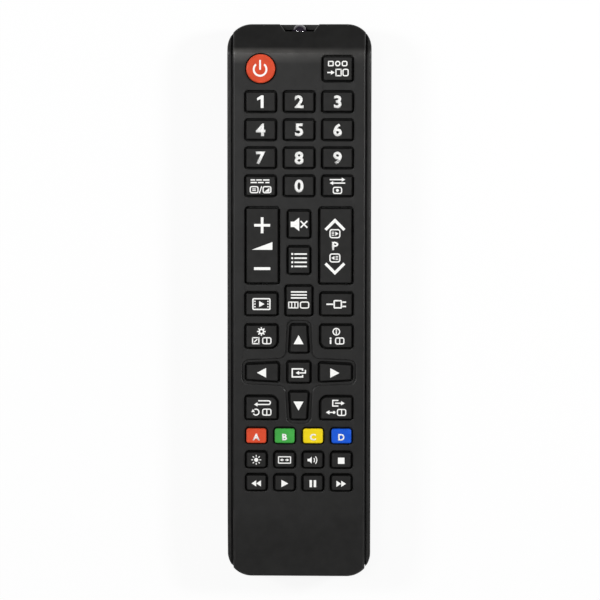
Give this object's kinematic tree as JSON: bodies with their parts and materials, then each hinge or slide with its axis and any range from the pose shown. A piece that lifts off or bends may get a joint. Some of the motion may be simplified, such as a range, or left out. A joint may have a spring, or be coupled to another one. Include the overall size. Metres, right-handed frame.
{
  "type": "tv remote control",
  "caption": "Slim bar remote control for a television, with silicone keys, two rockers, a direction cross, an infrared lamp in the nose and a sliding battery cover.",
  "frame": {"origin": "middle of the flat back, on the plane that the remote lies on", "axes": "+Y towards the nose with the infrared lamp, +Z out of the key face, +X to the right of the key face seen with the nose up"},
  "size_m": [0.0506, 0.195, 0.0207],
  "materials": {
    "case_plastic": "fine matt grain",
    "key_black": "smooth satin silicone",
    "key_red": "smooth satin silicone",
    "key_green": "smooth satin silicone",
    "key_yellow": "smooth satin silicone",
    "key_blue": "smooth satin silicone",
    "mat_silicone": "matt",
    "board_laminate": "solder mask",
    "carbon_pad": "printed carbon",
    "lamp_resin": "clear dark resin",
    "chip_epoxy": "moulded",
    "plated_steel": "nickel plated",
    "capacitor_sleeve": "shrink sleeve",
    "cell_can": "printed sleeve"
  },
  "bodies": {
    "case": {"bottom_case": "case_plastic", "top_case": "case_plastic", "keypad_mat": "mat_silicone", "circuit_board": "board_laminate", "contact_pads": "carbon_pad", "infrared_lamp": "lamp_resin", "controller_chip": "chip_epoxy", "resonator": "plated_steel", "capacitor": "capacitor_sleeve", "board_components": "chip_epoxy", "terminal_negative": "plated_steel", "terminal_positive": "plated_steel", "terminal_bridge": "plated_steel", "battery_left": "cell_can", "battery_right": "cell_can", "case_screws": "plated_steel"},
    "battery_cover": {"battery_cover": "case_plastic"},
    "key_power": {"key_power": "key_red"},
    "key_source": {"key_source": "key_black"},
    "key_1": {"key_1": "key_black"},
    "key_2": {"key_2": "key_black"},
    "key_3": {"key_3": "key_black"},
    "key_4": {"key_4": "key_black"},
    "key_5": {"key_5": "key_black"},
    "key_6": {"key_6": "key_black"},
    "key_7": {"key_7": "key_black"},
    "key_8": {"key_8": "key_black"},
    "key_9": {"key_9": "key_black"},
    "key_text": {"key_text": "key_black"},
    "key_0": {"key_0": "key_black"},
    "key_recall": {"key_recall": "key_black"},
    "key_volume": {"key_volume": "key_black"},
    "key_programme": {"key_programme": "key_black"},
    "key_mute": {"key_mute": "key_black"},
    "key_list": {"key_list": "key_black"},
    "key_media": {"key_media": "key_black"},
    "key_menu": {"key_menu": "key_black"},
    "key_input": {"key_input": "key_black"},
    "key_tools": {"key_tools": "key_black"},
    "key_info": {"key_info": "key_black"},
    "key_return": {"key_return": "key_black"},
    "key_exit": {"key_exit": "key_black"},
    "key_up": {"key_up": "key_black"},
    "key_down": {"key_down": "key_black"},
    "key_left": {"key_left": "key_black"},
    "key_right": {"key_right": "key_black"},
    "key_enter": {"key_enter": "key_black"},
    "key_red": {"key_red": "key_red"},
    "key_green": {"key_green": "key_green"},
    "key_yellow": {"key_yellow": "key_yellow"},
    "key_blue": {"key_blue": "key_blue"},
    "key_picture_mode": {"key_picture_mode": "key_black"},
    "key_picture_size": {"key_picture_size": "key_black"},
    "key_sound": {"key_sound": "key_black"},
    "key_stop": {"key_stop": "key_black"},
    "key_rewind": {"key_rewind": "key_black"},
    "key_play": {"key_play": "key_black"},
    "key_pause": {"key_pause": "key_black"},
    "key_forward": {"key_forward": "key_black"}
  },
  "joints": [
    {"name": "battery_cover_slide", "type": "slide", "parent": "case", "child": "battery_cover", "axis": [0, -1, 0], "range_m": [0, 0.06]},
    {"name": "key_volume_rock", "type": "hinge", "parent": "case", "child": "key_volume", "pos_m": [-0.0129, 0.02, 0.01692], "axis": [1, 0, 0], "range_deg": [-3.5, 3.5], "stiffness_Nm_per_rad": 0.18},
    {"name": "key_programme_rock", "type": "hinge", "parent": "case", "child": "key_programme", "pos_m": [0.0129, 0.02, 0.01692], "axis": [1, 0, 0], "range_deg": [-3.5, 3.5], "stiffness_Nm_per_rad": 0.18},
    {"name": "key_power_press", "type": "slide", "parent": "case", "child": "key_power", "axis": [0, 0, -1], "range_m": [0, 0.001], "stiffness_N_per_m": 1200},
    {"name": "key_source_press", "type": "slide", "parent": "case", "child": "key_source", "axis": [0, 0, -1], "range_m": [0, 0.001], "stiffness_N_per_m": 1200},
    {"name": "key_1_press", "type": "slide", "parent": "case", "child": "key_1", "axis": [0, 0, -1], "range_m": [0, 0.001], "stiffness_N_per_m": 1200},
    {"name": "key_2_press", "type": "slide", "parent": "case", "child": "key_2", "axis": [0, 0, -1], "range_m": [0, 0.001], "stiffness_N_per_m": 1200},
    {"name": "key_3_press", "type": "slide", "parent": "case", "child": "key_3", "axis": [0, 0, -1], "range_m": [0, 0.001], "stiffness_N_per_m": 1200},
    {"name": "key_4_press", "type": "slide", "parent": "case", "child": "key_4", "axis": [0, 0, -1], "range_m": [0, 0.001], "stiffness_N_per_m": 1200},
    {"name": "key_5_press", "type": "slide", "parent": "case", "child": "key_5", "axis": [0, 0, -1], "range_m": [0, 0.001], "stiffness_N_per_m": 1200},
    {"name": "key_6_press", "type": "slide", "parent": "case", "child": "key_6", "axis": [0, 0, -1], "range_m": [0, 0.001], "stiffness_N_per_m": 1200},
    {"name": "key_7_press", "type": "slide", "parent": "case", "child": "key_7", "axis": [0, 0, -1], "range_m": [0, 0.001], "stiffness_N_per_m": 1200},
    {"name": "key_8_press", "type": "slide", "parent": "case", "child": "key_8", "axis": [0, 0, -1], "range_m": [0, 0.001], "stiffness_N_per_m": 1200},
    {"name": "key_9_press", "type": "slide", "parent": "case", "child": "key_9", "axis": [0, 0, -1], "range_m": [0, 0.001], "stiffness_N_per_m": 1200},
    {"name": "key_text_press", "type": "slide", "parent": "case", "child": "key_text", "axis": [0, 0, -1], "range_m": [0, 0.001], "stiffness_N_per_m": 1200},
    {"name": "key_0_press", "type": "slide", "parent": "case", "child": "key_0", "axis": [0, 0, -1], "range_m": [0, 0.001], "stiffness_N_per_m": 1200},
    {"name": "key_recall_press", "type": "slide", "parent": "case", "child": "key_recall", "axis": [0, 0, -1], "range_m": [0, 0.001], "stiffness_N_per_m": 1200},
    {"name": "key_mute_press", "type": "slide", "parent": "case", "child": "key_mute", "axis": [0, 0, -1], "range_m": [0, 0.001], "stiffness_N_per_m": 1200},
    {"name": "key_list_press", "type": "slide", "parent": "case", "child": "key_list", "axis": [0, 0, -1], "range_m": [0, 0.001], "stiffness_N_per_m": 1200},
    {"name": "key_media_press", "type": "slide", "parent": "case", "child": "key_media", "axis": [0, 0, -1], "range_m": [0, 0.001], "stiffness_N_per_m": 1200},
    {"name": "key_menu_press", "type": "slide", "parent": "case", "child": "key_menu", "axis": [0, 0, -1], "range_m": [0, 0.001], "stiffness_N_per_m": 1200},
    {"name": "key_input_press", "type": "slide", "parent": "case", "child": "key_input", "axis": [0, 0, -1], "range_m": [0, 0.001], "stiffness_N_per_m": 1200},
    {"name": "key_tools_press", "type": "slide", "parent": "case", "child": "key_tools", "axis": [0, 0, -1], "range_m": [0, 0.001], "stiffness_N_per_m": 1200},
    {"name": "key_info_press", "type": "slide", "parent": "case", "child": "key_info", "axis": [0, 0, -1], "range_m": [0, 0.001], "stiffness_N_per_m": 1200},
    {"name": "key_return_press", "type": "slide", "parent": "case", "child": "key_return", "axis": [0, 0, -1], "range_m": [0, 0.001], "stiffness_N_per_m": 1200},
    {"name": "key_exit_press", "type": "slide", "parent": "case", "child": "key_exit", "axis": [0, 0, -1], "range_m": [0, 0.001], "stiffness_N_per_m": 1200},
    {"name": "key_up_press", "type": "slide", "parent": "case", "child": "key_up", "axis": [0, 0, -1], "range_m": [0, 0.001], "stiffness_N_per_m": 1200},
    {"name": "key_down_press", "type": "slide", "parent": "case", "child": "key_down", "axis": [0, 0, -1], "range_m": [0, 0.001], "stiffness_N_per_m": 1200},
    {"name": "key_left_press", "type": "slide", "parent": "case", "child": "key_left", "axis": [0, 0, -1], "range_m": [0, 0.001], "stiffness_N_per_m": 1200},
    {"name": "key_right_press", "type": "slide", "parent": "case", "child": "key_right", "axis": [0, 0, -1], "range_m": [0, 0.001], "stiffness_N_per_m": 1200},
    {"name": "key_enter_press", "type": "slide", "parent": "case", "child": "key_enter", "axis": [0, 0, -1], "range_m": [0, 0.001], "stiffness_N_per_m": 1200},
    {"name": "key_red_press", "type": "slide", "parent": "case", "child": "key_red", "axis": [0, 0, -1], "range_m": [0, 0.001], "stiffness_N_per_m": 1200},
    {"name": "key_green_press", "type": "slide", "parent": "case", "child": "key_green", "axis": [0, 0, -1], "range_m": [0, 0.001], "stiffness_N_per_m": 1200},
    {"name": "key_yellow_press", "type": "slide", "parent": "case", "child": "key_yellow", "axis": [0, 0, -1], "range_m": [0, 0.001], "stiffness_N_per_m": 1200},
    {"name": "key_blue_press", "type": "slide", "parent": "case", "child": "key_blue", "axis": [0, 0, -1], "range_m": [0, 0.001], "stiffness_N_per_m": 1200},
    {"name": "key_picture_mode_press", "type": "slide", "parent": "case", "child": "key_picture_mode", "axis": [0, 0, -1], "range_m": [0, 0.001], "stiffness_N_per_m": 1200},
    {"name": "key_picture_size_press", "type": "slide", "parent": "case", "child": "key_picture_size", "axis": [0, 0, -1], "range_m": [0, 0.001], "stiffness_N_per_m": 1200},
    {"name": "key_sound_press", "type": "slide", "parent": "case", "child": "key_sound", "axis": [0, 0, -1], "range_m": [0, 0.001], "stiffness_N_per_m": 1200},
    {"name": "key_stop_press", "type": "slide", "parent": "case", "child": "key_stop", "axis": [0, 0, -1], "range_m": [0, 0.001], "stiffness_N_per_m": 1200},
    {"name": "key_rewind_press", "type": "slide", "parent": "case", "child": "key_rewind", "axis": [0, 0, -1], "range_m": [0, 0.001], "stiffness_N_per_m": 1200},
    {"name": "key_play_press", "type": "slide", "parent": "case", "child": "key_play", "axis": [0, 0, -1], "range_m": [0, 0.001], "stiffness_N_per_m": 1200},
    {"name": "key_pause_press", "type": "slide", "parent": "case", "child": "key_pause", "axis": [0, 0, -1], "range_m": [0, 0.001], "stiffness_N_per_m": 1200},
    {"name": "key_forward_press", "type": "slide", "parent": "case", "child": "key_forward", "axis": [0, 0, -1], "range_m": [0, 0.001], "stiffness_N_per_m": 1200}
  ]
}
